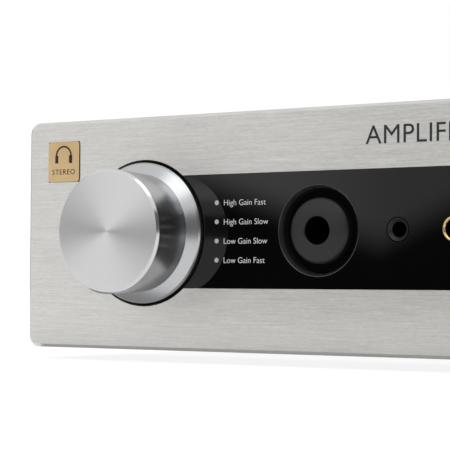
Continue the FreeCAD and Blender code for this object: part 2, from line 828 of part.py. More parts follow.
def make_big_jack():
    """The 6.35 mm socket: a deep rim, a domed nut and a square body up to the board."""
    at = (D.big_x, 0, D.axis_height)
    groove = D.plate_front + D.big_groove
    shelf = groove + D.big_shelf
    seat = D.big_barrel + 0.05
    rim_outside = D.big_rim - 0.05
    rim_front = WINDOW_FACE - 0.1
    ease = 0.15
    rim = new_body("big_jack_rim", at)
    turn(rim,
         (seat, groove), (D.big_well, groove), (D.big_well, rim_front + ease), (D.big_well + ease, rim_front),
         (rim_outside, rim_front), (rim_outside, shelf), (seat, shelf))
    nut = new_body("big_jack_nut", at)
    turn(nut,
         (D.big_bore, groove), (D.big_nut, groove), (D.big_nut, D.plate_front + 0.9),
         (D.big_nut - 0.5, D.plate_front + 0.4), (D.big_nut - 2.4, D.plate_front - 0.2),
         (D.big_bore + 0.8, D.plate_front - 0.5), (D.big_bore + 0.3, D.plate_front - 0.5),
         (D.big_bore, D.plate_front - 0.2))
    body = new_body("big_jack_body", at)
    half = D.big_side / 2
    back_wall = 1.5
    pad(body, "front", BACK, D.control_back - BACK, rect(-half, -half, half, half))
    pad(body, "front", groove, BACK - groove, circle(0, 0, D.big_barrel))
    cut(body, "front", groove, D.control_back - back_wall - groove, circle(0, 0, D.big_bore))


def make_mini_jack():
    """The 3.5 mm socket, with a countersunk nose in a clear gap."""
    body = new_body("mini_jack_body", (D.mini_x, 0, D.axis_height))
    half = D.mini_side / 2
    nose = D.plate_front + 0.15
    turn(body,
         (D.mini_bore, nose + D.mini_sink), (D.mini_nose - 0.08, nose), (D.mini_nose, nose),
         (D.mini_nose, WINDOW_BACK), (half, WINDOW_BACK), (half, BACK), (D.mini_bore, BACK))
    pad(body, "front", BACK, D.control_back - BACK, rect(-half, -half, half, half))
    cut(body, "front", BACK, D.mini_depth, circle(0, 0, D.mini_bore))


def make_balanced_jack():
    """The 4.4 mm socket: a gold ring on a plastic body."""
    at = (D.balanced_x, 0, D.axis_height)
    middle = (D.balanced_ring + D.balanced_bore) / 2
    flat = 0.12
    ring = new_body("balanced_jack_ring", at)
    crest = D.plate_front - D.balanced_crest
    turn(ring,
         (D.balanced_bore, D.plate_front), (middle - flat, crest), (middle + flat, crest),
         (D.balanced_ring, D.plate_front), (D.balanced_ring, WINDOW_BACK), (D.balanced_bore, WINDOW_BACK))
    body = new_body("balanced_jack_body", at)
    half = D.balanced_side / 2
    pad(body, "front", WINDOW_BACK, BACK - WINDOW_BACK, circle(0, 0, half))
    pad(body, "front", BACK, D.control_back - BACK, rect(-half, -half, half, half))
    cut(body, "front", WINDOW_BACK, BACK + D.balanced_depth - WINDOW_BACK, circle(0, 0, D.balanced_bore))


def make_round_socket():
    """The 4-pin female round connector: shell, contact insert and release tab."""
    at = (D.round_x, 0, D.axis_height)
    mouth = D.plate_front - D.round_proud
    ease = 0.5
    floor = D.plate_front + D.round_depth
    back = floor + D.round_floor
    shell = new_body("round_socket_shell", at)
    turn(shell,
         (D.round_mouth, mouth + ease), (D.round_mouth + ease, mouth), (D.round_rim - ease, mouth),
         (D.round_rim, mouth + ease), (D.round_rim, back), (0, back), (0, floor), (D.round_mouth, floor))
    slot_half = D.tab_half + 0.2
    cut(shell, "front", mouth, 9.0, rect(-slot_half, D.round_mouth + 0.55, slot_half, D.round_mouth + 2.3))
    insert = new_body("round_socket_insert", at)
    face = D.plate_front + 0.8
    pin_turns = [math.radians(45 + 90 * index) for index in range(4)]
    tube(insert, 0, D.round_insert, face, floor)
    cut(insert, "front", face, floor - face,
        *[circle(D.round_pin_circle * math.cos(angle), D.round_pin_circle * math.sin(angle), D.round_pin_hole)
          for angle in pin_turns])
    tab = new_body("round_socket_tab", at)
    tab_front = mouth - D.tab_proud
    pad(tab, "front", tab_front, D.tab_length,
        rect(-D.tab_half, D.round_mouth + 0.7, D.tab_half, D.round_mouth + 2.15))
    dress_edges(tab, "Fillet", 0.4, at_level("y", tab_front))


def make_lights():
    """Light pipes through the window, one row on each side."""
    body = new_body("light_pipes")
    start = WINDOW_FACE - D.light_proud
    pad(body, "front", start, D.light_back - start, *[circle(x, z, D.light_radius) for x, z in LIGHTS])


# ---- Inlet, switch and selector on the rear -------------------------------------------------


def make_inlet():
    """A C14 inlet with a fuse drawer under it."""
    body = new_body("mains_inlet", (D.inlet_x, 0, D.inlet_z))
    wide, high = D.inlet_half_width, D.inlet_half_height
    pad(body, "front", D.inlet_back, D.rear_face - D.inlet_back, rect(-wide, -high, wide, high))
    brim = 1.8
    pad(body, "front", D.rear_face, D.inlet_lip,
        rounded(-wide - brim, -high - brim, wide + brim, high + brim, 1.5))
    low, top = D.socket_lift - D.socket_half_height, D.socket_lift + D.socket_half_height
    side = D.socket_half_width
    slope = 4.0
    cut(body, "front", D.socket_floor, D.rear_face + D.inlet_lip - D.socket_floor,
        poly((-side, low), (side, low), (side, top - slope), (side - slope, top), (slope - side, top),
             (-side, top - slope)))
    gap = 0.3
    cut(body, "front", D.rear_face + D.inlet_lip - D.drawer_length - gap, D.drawer_length + gap,
        box_at(0, D.drawer_drop, D.drawer_half_width + gap, D.drawer_half_height + gap))
    pins = new_body("inlet_pins", (D.inlet_x, 0, D.inlet_z + D.socket_lift))
    pin_tip = D.rear_face - 1.5
    spots = [(-D.inlet_pin_x, -D.inlet_pin_z), (D.inlet_pin_x, -D.inlet_pin_z), (0, D.inlet_pin_z)]
    pad(pins, "front", D.socket_floor, pin_tip - D.socket_floor,
        *[box_at(x, z, D.inlet_pin_half_width, D.inlet_pin_half_height) for x, z in spots])
    dress_edges(pins, "Chamfer", 0.5, at_level("y", pin_tip))


def make_fuse_drawer():
    """A drawer with a finger lip; the fuse lies in its trough."""
    face = D.rear_face + D.inlet_lip
    back_wall = 2.0
    wide, high = D.drawer_half_width, D.drawer_half_height
    drawer = new_body("fuse_drawer", (D.inlet_x, 0, D.inlet_z + D.drawer_drop))
    pad(drawer, "front", face - D.drawer_length, D.drawer_length + D.drawer_grip,
        rect(-wide, -high, wide, high))
    cut(drawer, "front", face, D.drawer_grip, rect(-4.0, -high, 4.0, -high + 2.2))
    cut(drawer, "front", face - D.drawer_length + back_wall, D.fuse_length + 2.0, rect(-3.2, -2.4, 3.2, high))
    fuse_start = face - D.drawer_length + back_wall + 0.4
    fuse = new_body("fuse", (D.inlet_x, fuse_start, D.inlet_z + D.drawer_drop + 0.25))
    glass_end = D.fuse_length - D.fuse_cap
    tube(fuse, 0, D.fuse_radius, 0, D.fuse_cap)
    tube(fuse, 0, D.fuse_glass_radius, D.fuse_cap, glass_end)
    tube(fuse, 0, D.fuse_radius, glass_end, D.fuse_length)


def make_power_switch():
    """A rocker switch: a frame with a brim, and a rocker on a level pin."""
    wide, high = D.switch_half_width, D.switch_half_height
    room_wide, room_high = D.rocker_half_width + 0.4, D.rocker_half_height + 0.8
    room_depth = 7.0
    frame = new_body("power_switch_frame", (D.switch_x, D.rear_face, D.switch_z))
    pad(frame, "front", -D.switch_depth, D.switch_depth, rect(-wide, -high, wide, high))
    brim = D.switch_brim
    pad(frame, "front", 0, D.switch_lip, rounded(-wide - brim, -high - brim, wide + brim, high + brim, 1.0))
    cut(frame, "front", -room_depth, room_depth + D.switch_lip,
        rect(-room_wide, -room_high, room_wide, room_high))
    pin = D.rocker_half_width + 1.0
    pin_hole = pin + D.hole_gap
    cut(frame, "side", -pin_hole, pin_hole * 2, circle(-D.rocker_pivot, 0, D.rocker_pin + D.shaft_gap))
    rocker = new_body("power_rocker", (D.switch_x, D.rear_face - D.rocker_pivot, D.switch_z))
    tall = D.rocker_half_height
    back = -3.0
    valley = D.rocker_pivot + 1.0
    shoulder = valley - 1.0
    crest = valley + Dim(tall.value * math.tan(math.radians(D.rocker_tilt.value)),
                         "(Sizes.rocker_half_height * tan(Sizes.rocker_tilt * 1 deg))")
    pad(rocker, "side", -D.rocker_half_width, D.rocker_half_width * 2,
        poly((back, -tall / 2), (shoulder, -tall), (crest, -tall), (valley, 0), (crest, tall),
             (shoulder, tall), (back, tall / 2)))
    pad(rocker, "side", -pin, pin * 2, circle(0, 0, D.rocker_pin))
    rocker.setExpression("Placement.Rotation.Axis.x", "1")
    rocker.setExpression("Placement.Rotation.Axis.z", "0")
    rocker.setExpression("Placement.Rotation.Angle", "-Sizes.rocker_tilt")


def make_voltage_selector():
    """A slide switch behind the panel, with its slider in a shallow window."""
    at = (D.switch_x, REAR_INSIDE, D.selector_z)
    wide, high = D.selector_half_width, D.selector_half_height
    depth, room = 7.0, 3.0
    frame = new_body("voltage_selector_frame", at)
    pad(frame, "front", -depth, depth, rect(-wide, -high, wide, high))
    reach = D.slider_travel / 2 + D.slider_half_width
    room_wide, room_high = reach + 0.4, D.slider_half_height + 0.5
    cut(frame, "front", -room, room, rect(-room_wide, -room_high, room_wide, room_high))
    slider = new_body("voltage_selector_slider", at)
    tall = D.slider_half_height
    pad(slider, "front", -2.6, 3.8, rect(-reach, -tall, D.slider_half_width * 2 - reach, tall))
    cut(slider, "front", 0.2, 1.0, rect(2.5 - reach, -tall, 3.5 - reach, tall))


# ---- Signal sockets on the rear -------------------------------------------------------------


def make_phono_sockets():
    """Four phono sockets: a turned shell each, and one insulator in each shell."""
    tip = D.phono_reach
    ease = 0.4
    collar, collar_depth = 6.2, 1.2
    for name, x, z in PHONO_SPOTS:
        shell = new_body(name, (x, D.rear_face, z))
        turn(shell,
             (D.phono_bore, -D.phono_back), (D.phono_shank, -D.phono_back), (D.phono_shank, 0), (collar, 0),
             (collar, collar_depth), (D.phono_radius, collar_depth), (D.phono_radius, tip - ease),
             (D.phono_radius - ease, tip), (D.phono_bore, tip))
    inserts = new_body("phono_insulators", (0, D.rear_face, 0))
    front = tip - 0.8
    pad(inserts, "front", -D.phono_back, D.phono_back + front,
        *[circle(x, z, D.phono_bore - D.press_gap) for name, x, z in PHONO_SPOTS])
    cut(inserts, "front", -1.0, front + 1.0, *[circle(x, z, D.phono_pin_hole) for name, x, z in PHONO_SPOTS])


def make_line_sockets():
    """Two 3-pin male round sockets, each in a flange with two screw holes."""
    wide, high = D.out_half_width, D.out_half_height
    floor = D.out_proud - D.out_depth
    for name, x in OUT_SPOTS:
        body = new_body(name, (x, D.rear_face, D.out_z))
        pad(body, "front", -D.out_back, D.out_back, circle(0, 0, D.out_body))
        pad(body, "front", 0, D.out_flange, rounded(-wide, -high, wide, high, 3.0))
        pad(body, "front", D.out_flange, D.out_proud - D.out_flange, circle(0, 0, D.out_ring))
        cut(body, "front", floor, D.out_depth, circle(0, 0, D.out_mouth))
        cut(body, "front", 0, D.out_flange, circle(-9.8, 12.3, 1.7), circle(9.8, -12.3, 1.7))
    pins = new_body("line_socket_pins", (0, D.rear_face, D.out_z))
    spots = [
        circle(x + D.out_pin_circle * math.cos(angle), D.out_pin_circle * math.sin(angle), D.out_pin)
        for name, x in OUT_SPOTS
        for angle in (math.radians(30), math.radians(150), math.radians(270))
    ]
    pad(pins, "front", floor, D.out_depth - 1.2, *spots)


def make_usb_sockets():
    """A type B socket on the main board, and a type C socket above it."""
    wide, high = D.usb_b_half_width, D.usb_b_half_height
    big = new_body("usb_b_socket", (D.usb_x, D.rear_face, D.lower_z))
    pad(big, "front", -D.usb_b_length, D.usb_b_length - D.rear_depth,
        rect(-wide, BOARD_TOP - D.lower_z, wide, high))
    proud = 0.6
    pad(big, "front", -D.rear_depth, D.rear_depth + proud, rect(-wide, -high, wide, high))
    floor, mouth, slope = -9.4, 3.9, 1.7
    side = mouth + 0.35
    cut(big, "front", floor, proud - floor,
        poly((-side, -mouth), (side, -mouth), (side, mouth - slope), (side - slope + 0.05, mouth),
             (slope - 0.05 - side, mouth), (-side, mouth - slope)))
    pad(big, "front", floor, 8.6, rect(-2.8, -1.6, 2.8, 1.6))
    small = new_body("usb_c_socket", (D.usb_x, D.rear_face, D.upper_z))
    wide, high = D.usb_c_half_width, D.usb_c_half_height
    wall = 0.5
    pad(small, "front", -10.0, 10.4, rounded(-wide, -high, wide, high, 1.7))
    cut(small, "front", -6.2, 6.6, rounded(wall - wide, wall - high, wide - wall, high - wall, 1.2))
    pad(small, "front", -6.2, 5.4, rect(-3.3, -0.35, 3.3, 0.35))


# ---- Boards and parts inside ----------------------------------------------------------------


def make_front_board():
    body = new_body("front_board")
    half = D.front_board_half
    pad(body, "front", D.control_back, D.board_depth,
        rect(-half, D.front_board_low, half, D.front_board_top))
    cut(body, "front", D.control_back, D.board_depth,
        *[circle(x, z, D.screw_radius + D.hole_gap) for x, z in FRONT_POSTS])


def make_main_board():
    body = new_body("main_board")
    pad(body, "top", D.main_board_low, D.board_depth,
        rect(D.main_board_left, D.main_board_front, D.main_board_right, D.main_board_back))
    cut(body, "top", D.main_board_low, D.board_depth,
        *[circle(x, y, D.screw_radius + D.hole_gap) for x, y in MAIN_POSTS])


def make_board_posts():
    """Posts behind the front plate and on the tray's floor, each with a stud through its board."""
    body = new_body("board_posts")
    stud = D.board_depth + 1.0
    places = ("front", BACK, D.control_back, FRONT_POSTS), ("top", TRAY_TOP, D.main_board_low, MAIN_POSTS)
    for facing, start, board, spots in places:
        pad(body, facing, start, board - start, *[circle(x, y, D.post_radius) for x, y in spots])
        pad(body, facing, board, stud, *[circle(x, y, D.screw_radius) for x, y in spots])


def make_transformer():
    """A toroidal transformer, held down by a dished washer and a bolt."""
    at = (D.coil_x, D.coil_y, TRAY_TOP)
    body = new_body("mains_transformer", at)
    edge, lip = 6.0, 2.0
    r, hole, tall = D.coil_radius, D.coil_hole, D.coil_height
    turn(body,
         (hole + lip, 0), (r - edge, 0), (r, edge), (r, tall - edge), (r - edge, tall), (hole + lip, tall),
         (hole, tall - lip), (hole, lip), about="z")
    clamp = new_body("transformer_clamp", at)
    washer_top = tall + 1.2
    bolt_top = tall + 4.0
    turn(clamp,
         (0, -D.sheet), (D.coil_bolt, -D.sheet), (D.coil_bolt, tall), (r * 0.6, tall), (r * 0.6, washer_top),
         (5.0, washer_top), (5.0, bolt_top), (0, bolt_top), about="z")


def make_board_parts():
    """Filter capacitors and a finned heat sink on the main board."""
    cans = new_body("filter_capacitors")
    pad(cans, "top", BOARD_TOP, D.can_height,
        *[circle(x, y, D.can_radius) for x in (-14.0, 5.0) for y in (-32.0, -13.0, 6.0)])
    sink = new_body("output_heat_sink")
    wall_end = D.sink_left + D.sink_wall
    fin_end = D.sink_left + D.sink_reach
    reach = D.sink_half_length
    pad(sink, "top", BOARD_TOP, D.sink_height, rect(D.sink_left, -reach, wall_end, reach))
    fin = pad(sink, "top", BOARD_TOP, D.sink_height, rect(wall_end, -reach, fin_end, D.fin_depth - reach))
    row_of(sink, fin, "V_Axis", reach * 2 - D.fin_depth, D.fin_count)


def write_parts():
    doc.recompute()
    for item in doc.Objects:
        if {"Invalid", "Error"} & set(item.State):
            raise ValueError("%s failed: %s" % (item.Label, item.State))
    os.makedirs("parts", exist_ok=True)
    for body in pieces:
        shape = body.Shape
        if shape.isNull() or not shape.isValid() or shape.Volume <= 0:
            raise ValueError(body.Label + " has no valid shape")
        shape.exportStep("parts/%s.step" % body.Label)
    print(len(pieces), "parts")


for make in (
    make_front_plate, make_window_panel, make_badge, make_bottom_chassis, make_top_cover, make_cover_screws,
    make_rear_panel, make_case_screws, make_feet, make_controls, make_control_nuts, make_well_cups,
    make_big_jack, make_mini_jack, make_balanced_jack, make_round_socket, make_lights, make_inlet,
    make_fuse_drawer, make_power_switch, make_voltage_selector, make_phono_sockets, make_line_sockets,
    make_usb_sockets, make_front_board, make_main_board, make_board_posts, make_transformer,
    make_board_parts,
):
    make()
write_parts()
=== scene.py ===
import json
import math

import bmesh
import bpy
from mathutils import Matrix, Vector


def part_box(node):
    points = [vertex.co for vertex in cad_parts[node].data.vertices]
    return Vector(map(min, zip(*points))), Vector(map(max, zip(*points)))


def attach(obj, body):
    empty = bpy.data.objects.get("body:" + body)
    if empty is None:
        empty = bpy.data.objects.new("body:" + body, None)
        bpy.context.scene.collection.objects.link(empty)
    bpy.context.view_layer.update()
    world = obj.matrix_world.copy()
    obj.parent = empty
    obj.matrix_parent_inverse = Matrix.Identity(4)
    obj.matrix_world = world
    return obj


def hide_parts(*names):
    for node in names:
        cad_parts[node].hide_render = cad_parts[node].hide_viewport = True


MM = 0.001
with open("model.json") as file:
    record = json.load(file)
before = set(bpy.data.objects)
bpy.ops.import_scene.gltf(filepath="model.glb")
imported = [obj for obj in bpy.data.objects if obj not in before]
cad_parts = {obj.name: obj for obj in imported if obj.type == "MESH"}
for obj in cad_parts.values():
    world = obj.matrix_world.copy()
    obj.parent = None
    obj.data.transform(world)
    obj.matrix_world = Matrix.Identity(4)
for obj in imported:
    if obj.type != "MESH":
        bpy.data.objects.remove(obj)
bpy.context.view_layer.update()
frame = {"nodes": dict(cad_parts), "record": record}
nodes = frame["nodes"]


# ---- Places and sizes, read from the frame --------------------------------------------------


def centre(node):
    low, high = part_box(node)
    return (low + high) / 2


PLATE_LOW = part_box("front_plate")[0]
PLATE_FACE = PLATE_LOW.y
WINDOW_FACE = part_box("window_panel")[0].y
REAR_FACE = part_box("rear_panel")[1].y
AXIS_Z = centre("volume_knob").z
SEGMENTS = 192          # round a turned piece
INK_PROUD = 0.01 * MM   # lettering stands this far out of its surface


# ---- Shader nodes ---------------------------------------------------------------------------


class Finish:
    """A node material under construction: a Principled shader and the nodes that feed it."""

    def __init__(self, name, color, metallic=0.0, roughness=0.5, **sockets):
        self.material = bpy.data.materials.new(name)
        self.material.use_nodes = True
        self.tree = self.material.node_tree
        self.shader = self.tree.nodes["Principled BSDF"]
        self.shader.inputs["Base Color"].default_value = (*color, 1.0)
        self.shader.inputs["Metallic"].default_value = metallic
        self.shader.inputs["Roughness"].default_value = roughness
        for label, value in sockets.items():
            self.shader.inputs[label.replace("_", " ").title().replace("Ior", "IOR")].default_value = value
        self.coordinates = self.node("ShaderNodeTexCoord").outputs["Object"]

    def node(self, kind, settings=(), **inputs):
        made = self.tree.nodes.new(kind)
        for key, value in dict(settings).items():
            setattr(made, key, value)
        for label, value in inputs.items():
            socket = made.inputs[label.replace("_", " ")]
            if isinstance(value, bpy.types.NodeSocket):
                self.tree.links.new(value, socket)
            else:
                socket.default_value = value
        return made

    def feed(self, label, socket):
        self.tree.links.new(socket, self.shader.inputs[label])

    def grain(self, scale, stretch=(1, 1, 1), detail=3.0, roughness=0.6, source=None):
        """Noise in metres, squeezed by a factor along each axis."""
        mapping = self.node("ShaderNodeMapping", Vector=source or self.coordinates, Scale=stretch)
        noise = self.node("ShaderNodeTexNoise", Vector=mapping.outputs["Vector"], Scale=scale,
                          Detail=detail, Roughness=roughness)
        return noise.outputs["Fac"]

    def remap(self, value, low, high, start, end):
        made = self.node("ShaderNodeMapRange", Value=value)
        for label, number in (("From Min", low), ("From Max", high), ("To Min", start), ("To Max", end)):
            made.inputs[label].default_value = number
        return made.outputs["Result"]

    def math(self, operation, one, two=None):
        made = self.node("ShaderNodeMath", {"operation": operation})
        for index, value in enumerate((one, two)):
            if isinstance(value, bpy.types.NodeSocket):
                self.tree.links.new(value, made.inputs[index])
            elif value is not None:
                made.inputs[index].default_value = value
        return made.outputs["Value"]

    def tint(self, factor, dark, light):
        """A colour that runs from dark to light with the factor."""
        ramp = self.node("ShaderNodeValToRGB", Fac=factor)
        ramp.color_ramp.elements[0].color = (*dark, 1.0)
        ramp.color_ramp.elements[1].color = (*light, 1.0)
        return ramp.outputs["Color"]

    def bump(self, height, distance, strength=1.0):
        made = self.node("ShaderNodeBump", Height=height, Distance=distance, Strength=strength)
        self.feed("Normal", made.outputs["Normal"])


def shade(color, factor):
    return tuple(channel * factor for channel in color)


def brushed_plate():
    """Aluminium brushed along X: long fine scratches over broader streaks."""
    base = (0.572, 0.563, 0.538)
    finish = Finish("brushed_plate", base, metallic=1.0, roughness=0.34, anisotropic=0.75,
                    coat_weight=1.0, coat_ior=2.2, coat_roughness=0.13)
    fine = finish.grain(1.0, (700, 1500, 3600), detail=4.0, roughness=0.7)
    broad = finish.grain(1.0, (70, 700, 2300), detail=3.0, roughness=0.7)
    cloud = finish.grain(14.0, detail=2.0)
    both = finish.math("ADD", finish.math("MULTIPLY", fine, 0.45), finish.math("MULTIPLY", broad, 0.55))
    finish.feed("Base Color", finish.tint(finish.remap(both, 0.32, 0.68, 0.0, 1.0),
                                          shade(base, 0.79), shade(base, 1.19)))
    rough = finish.math("ADD", finish.remap(both, 0.3, 0.7, 0.29, 0.41),
                        finish.remap(cloud, 0.3, 0.7, -0.015, 0.015))
    finish.feed("Roughness", rough)
    finish.bump(both, 0.004 * MM, 1.0)
    tangent = finish.node("ShaderNodeTangent", {"direction_type": "RADIAL", "axis": "X"})
    finish.feed("Tangent", tangent.outputs["Tangent"])
    return finish.material


def turned(name, base, roughness, anisotropic, pitch=0.5):
    """Aluminium turned on a lathe: rings about the piece's own Y axis."""
    finish = Finish(name, base, metallic=1.0, roughness=roughness, anisotropic=anisotropic,
                    anisotropic_rotation=0.25)
    parts = finish.node("ShaderNodeSeparateXYZ", Vector=finish.coordinates)
    across = finish.math("MULTIPLY", parts.outputs["X"], parts.outputs["X"])
    upward = finish.math("MULTIPLY", parts.outputs["Z"], parts.outputs["Z"])
    reach = finish.math("SQRT", finish.math("ADD", across, upward))
    spot = finish.node("ShaderNodeCombineXYZ", X=reach, Y=parts.outputs["Y"])
    count = 1000.0 / pitch
    rings = finish.grain(1.0, (8 * count, 3 * count, 1), detail=3.0, roughness=0.8,
                         source=spot.outputs["Vector"])
    finish.feed("Base Color", finish.tint(finish.remap(rings, 0.3, 0.7, 0.0, 1.0),
                                          shade(base, 0.96), shade(base, 1.03)))
    finish.feed("Roughness", finish.remap(rings, 0.3, 0.7, roughness * 0.92, roughness * 1.08))
    finish.bump(rings, 0.0006 * MM, 0.6)
    tangent = finish.node("ShaderNodeTangent", {"direction_type": "RADIAL", "axis": "Y"})
    finish.feed("Tangent", tangent.outputs["Tangent"])
    return finish.material


def satin_coat():
    """Fine powder coat on sheet metal, with a faint orange peel and dull rubbed patches."""
    base = (0.40, 0.40, 0.39)
    finish = Finish("satin_coat", base, metallic=0.55, roughness=0.42)
    fine = finish.grain(2600.0, detail=2.0)
    peel = finish.grain(420.0, detail=2.0)
    cloud = finish.grain(9.0, detail=3.0)
    finish.feed("Base Color", finish.tint(finish.remap(fine, 0.3, 0.7, 0.0, 1.0),
                                          shade(base, 0.92), shade(base, 1.08)))
    finish.feed("Roughness", finish.remap(cloud, 0.3, 0.7, 0.38, 0.47))
    height = finish.math("ADD", finish.math("MULTIPLY", fine, 0.5), finish.math("MULTIPLY", peel, 0.5))
    finish.bump(height, 0.02 * MM, 0.6)
    return finish.material


def zinc_sheet():
    """Zinc plated steel with its faint crystal pattern and rolling marks."""
    base = (0.42, 0.43, 0.44)
    finish = Finish("zinc_sheet", base, metallic=1.0, roughness=0.36)
    cells = finish.node("ShaderNodeTexVoronoi", Vector=finish.coordinates, Scale=160.0)
    rolling = finish.grain(1.0, (2500, 60, 2500), detail=3.0)
    finish.feed("Base Color", finish.tint(cells.outputs["Distance"], shade(base, 0.9), shade(base, 1.1)))
    finish.feed("Roughness", finish.remap(rolling, 0.3, 0.7, 0.28, 0.44))
    finish.bump(rolling, 0.005 * MM, 0.5)
    return finish.material


def polished_acrylic():
    """Black acrylic: hard gloss with the faint haze of handling."""
    base = (0.0016, 0.0015, 0.0014)
    finish = Finish("polished_acrylic", base, roughness=0.03, ior=1.49)
    haze = finish.grain(26.0, (1, 1, 1.6), detail=5.0)
    specks = finish.grain(5200.0, detail=1.0)
    smear = finish.remap(haze, 0.35, 0.75, 0.015, 0.05)
    finish.feed("Roughness", smear)
    finish.feed("Base Color", finish.tint(finish.remap(specks, 0.74, 0.80, 0.0, 1.0),
                                          base, (0.012, 0.012, 0.012)))
    return finish.material


def moulded(name, base, roughness=0.5, scale=1800.0, depth=0.006, **sockets):
    """A moulded plastic with a fine spark-eroded grain."""
    finish = Finish(name, base, roughness=roughness, **sockets)
    fine = finish.grain(scale, detail=3.0)
    cloud = finish.grain(60.0, detail=2.0)
    finish.feed("Base Color", finish.tint(finish.remap(fine, 0.3, 0.7, 0.0, 1.0),
                                          shade(base, 0.85), shade(base, 1.15)))
    finish.feed("Roughness", finish.remap(cloud, 0.3, 0.7, roughness - 0.05, roughness + 0.06))
    finish.bump(fine, depth * MM, 0.7)
    return finish.material


def plated(name, base, roughness=0.18, depth=0.002, scratch=(900, 900, 900)):
    """A plated or machined metal with fine random marks."""
    finish = Finish(name, base, metallic=1.0, roughness=roughness)
    marks = finish.grain(1.0, scratch, detail=4.0)
    cloud = finish.grain(130.0, detail=2.0)
    finish.feed("Base Color", finish.tint(finish.remap(cloud, 0.3, 0.7, 0.0, 1.0),
                                          shade(base, 0.93), shade(base, 1.05)))
    finish.feed("Roughness", finish.remap(marks, 0.3, 0.7, roughness * 0.8, roughness * 1.25))
    finish.bump(marks, depth * MM, 0.6)
    return finish.material


def clear_glass():
    finish = Finish("fuse_glass", (0.9, 0.95, 0.95), roughness=0.05, ior=1.5, transmission_weight=0.9)
    finish.feed("Roughness", finish.remap(finish.grain(700.0), 0.3, 0.7, 0.02, 0.08))
    return finish.material


def milky_pipe():
    """An unlit light pipe: clear plastic with a ground, milky end."""
    base = (0.42, 0.42, 0.41)
    finish = Finish("milky_pipe", base, roughness=0.28)
    grit = finish.grain(4200.0, detail=1.0)
    finish.feed("Base Color", finish.tint(grit, shade(base, 0.55), shade(base, 1.5)))
    return finish.material


def circuit_board():
    """Green solder mask over darker copper tracks."""
    finish = Finish("circuit_board", (0.008, 0.07, 0.03), roughness=0.32)
    tracks = finish.node("ShaderNodeTexBrick", Vector=finish.coordinates, Scale=90.0)
    tracks.inputs["Color1"].default_value = (0.008, 0.07, 0.03, 1)
    tracks.inputs["Color2"].default_value = (0.010, 0.085, 0.036, 1)
    tracks.inputs["Mortar"].default_value = (0.02, 0.13, 0.055, 1)
    finish.feed("Base Color", tracks.outputs["Color"])
    finish.bump(finish.grain(800.0), 0.01 * MM, 0.5)
    return finish.material


def wound_tape():
    """Yellow tape wound round the coil in overlapping turns."""
    finish = Finish("wound_tape", (0.65, 0.45, 0.06), roughness=0.3)
    turns = finish.node("ShaderNodeTexWave", {"wave_type": "RINGS", "rings_direction": "Z"},
                        Vector=finish.coordinates, Scale=60.0, Distortion=3.0)
    finish.feed("Base Color", finish.tint(turns.outputs["Fac"], (0.5, 0.33, 0.04), (0.72, 0.52, 0.09)))
    finish.bump(turns.outputs["Fac"], 0.1 * MM, 0.6)
    return finish.material


def printed(name, base, roughness=0.5):
    """Screen-printed ink with slightly uneven cover."""
    finish = Finish(name, base, roughness=roughness)
    finish.feed("Base Color", finish.tint(finish.grain(5200.0, detail=2.0), shade(base, 0.8), base))
    return finish.material


FINISHES = {
    "plate_aluminium": brushed_plate(),
    "knob_aluminium": turned("knob_face", (0.65, 0.65, 0.65), 0.30, 0.85),
    "case_paint": satin_coat(),
    "tray_steel": zinc_sheet(),
    "window_acrylic": polished_acrylic(),
    "liner_plastic": moulded("liner_black", (0.004, 0.004, 0.004), 0.6),
    "badge_brass": plated("badge_gold", (0.70, 0.50, 0.27), 0.36, scratch=(60, 900, 6000)),
    "socket_plastic": moulded("socket_black", (0.008, 0.008, 0.008), 0.45, specular_ior_level=0.3),
    "nut_plastic": moulded("nut_grey", (0.0125, 0.0125, 0.0135), 0.42, specular_ior_level=0.35),
    "gold_contact": plated("gold_plate", (0.86, 0.61, 0.26), 0.16),
    "nickel": plated("nickel_plate", (0.58, 0.57, 0.55), 0.2),
    "screw_steel": plated("zinc_screw", (0.36, 0.36, 0.37), 0.3),
    "black_screw": plated("black_oxide", (0.035, 0.035, 0.036), 0.4),
    "shaft_steel": plated("turned_steel", (0.5, 0.5, 0.5), 0.25),
    "rubber": moulded("foot_rubber", (0.016, 0.016, 0.016), 0.75, 1200.0, 0.02),
    "light_pipe": milky_pipe(),
    "board": circuit_board(),
    "coil_tape": wound_tape(),
    "can_sleeve": moulded("can_sleeve", (0.012, 0.014, 0.035), 0.3),
    "sink_aluminium": plated("black_anodised", (0.03, 0.03, 0.03), 0.45, scratch=(900, 900, 60)),
    "fuse_glass": clear_glass(),
    "white_insulator": moulded("insulator_white", (0.60, 0.60, 0.58), 0.4),
}
KNOB_EDGE = turned("knob_edge", (0.62, 0.62, 0.63), 0.18, 0.3)
KNOB_SIDE = turned("knob_side", (0.52, 0.525, 0.54), 0.25, 0.4)
KNOB_SKIRT = turned("knob_skirt", (0.50, 0.505, 0.515), 0.25, 0.3)
# Copies of the rim's black plastic made lighter: a painted highlight on the rim's crest and painted light
# on its slope.
RIM_PAINTED_HIGHLIGHT = moulded("rim_gloss_painted_highlight", (0.022, 0.022, 0.022), 0.16, 900.0, 0.002)
RIM_PAINTED_LIGHT = moulded("rim_satin_painted_light", (0.018, 0.018, 0.018), 0.35, 900.0, 0.004)
# Near-black with barely any sheen: painted shade, put on the floors of wells and the insides of bores.
PAINTED_SHADE_BLACK = moulded("painted_shade_black", (0.001, 0.001, 0.001), 0.7, specular_ior_level=0.06)
WHITE_INK = printed("white_ink", (0.72, 0.72, 0.71))
DARK_INK = printed("dark_ink", (0.008, 0.008, 0.008), 0.5)
ENGRAVED = printed("engraved_black", (0.006, 0.005, 0.004), 0.6)


def dress_nodes():
    """Each CAD node that stays in view gets its slot's finish, smooth across its round faces."""
    slots = {part["node"]: part["material_slot"] for part in frame["record"]["subparts"]}
    for name, piece in nodes.items():
        piece.data.materials.clear()
        piece.data.materials.append(FINISHES[slots[name]])
        piece.data.set_sharp_from_angle(angle=math.radians(28))


dress_nodes()


# ---- Detailed pieces ------------------------------------------------------------------------


